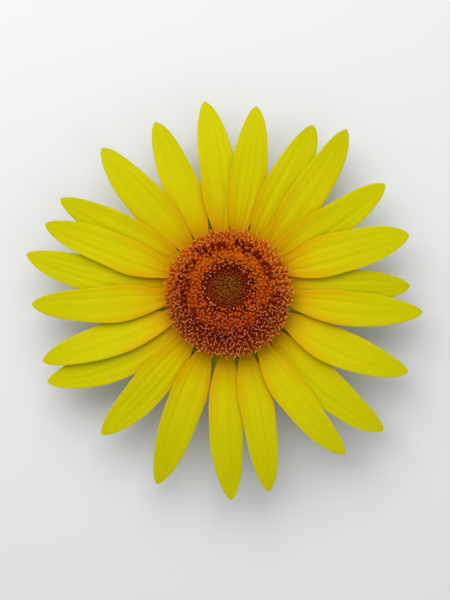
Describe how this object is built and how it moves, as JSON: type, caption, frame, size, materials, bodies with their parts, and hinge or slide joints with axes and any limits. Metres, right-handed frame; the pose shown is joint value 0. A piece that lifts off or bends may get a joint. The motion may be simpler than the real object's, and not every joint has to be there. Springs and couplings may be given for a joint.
{
  "type": "sunflower head",
  "caption": "Sunflower head cut off short, its pointed yellow ray florets spread around a rust-brown disc of florets over green bracts, standing face up on the stem's flat end.",
  "frame": {"origin": "centre of the stem's flat cut end", "axes": "+Z along the stem, out of the flower's face; +Y toward the top of the flower as seen face on; +X to its right"},
  "size_m": [0.1192, 0.12, 0.0265],
  "materials": {
    "stem": "matte",
    "bracts": "matte",
    "ray_florets": "satin",
    "open_florets": "matte",
    "pollen_florets": "matte",
    "buds": "matte"
  },
  "bodies": {
    "root": {"stem": "stem", "receptacle_and_bracts": "bracts", "ray_floret_01": "ray_florets", "ray_floret_02": "ray_florets", "ray_floret_03": "ray_florets", "ray_floret_04": "ray_florets", "ray_floret_05": "ray_florets", "ray_floret_06": "ray_florets", "ray_floret_07": "ray_florets", "ray_floret_08": "ray_florets", "ray_floret_09": "ray_florets", "ray_floret_10": "ray_florets", "ray_floret_11": "ray_florets", "ray_floret_12": "ray_florets", "ray_floret_13": "ray_florets", "ray_floret_14": "ray_florets", "ray_floret_15": "ray_florets", "ray_floret_16": "ray_florets", "ray_floret_17": "ray_florets", "ray_floret_18": "ray_florets", "ray_floret_19": "ray_florets", "ray_floret_20": "ray_florets", "ray_floret_21": "ray_florets", "ray_floret_22": "ray_florets", "ray_floret_23": "ray_florets", "disc_open_florets": "open_florets", "disc_pollen_florets": "pollen_florets", "disc_buds": "buds"}
  },
  "joints": []
}
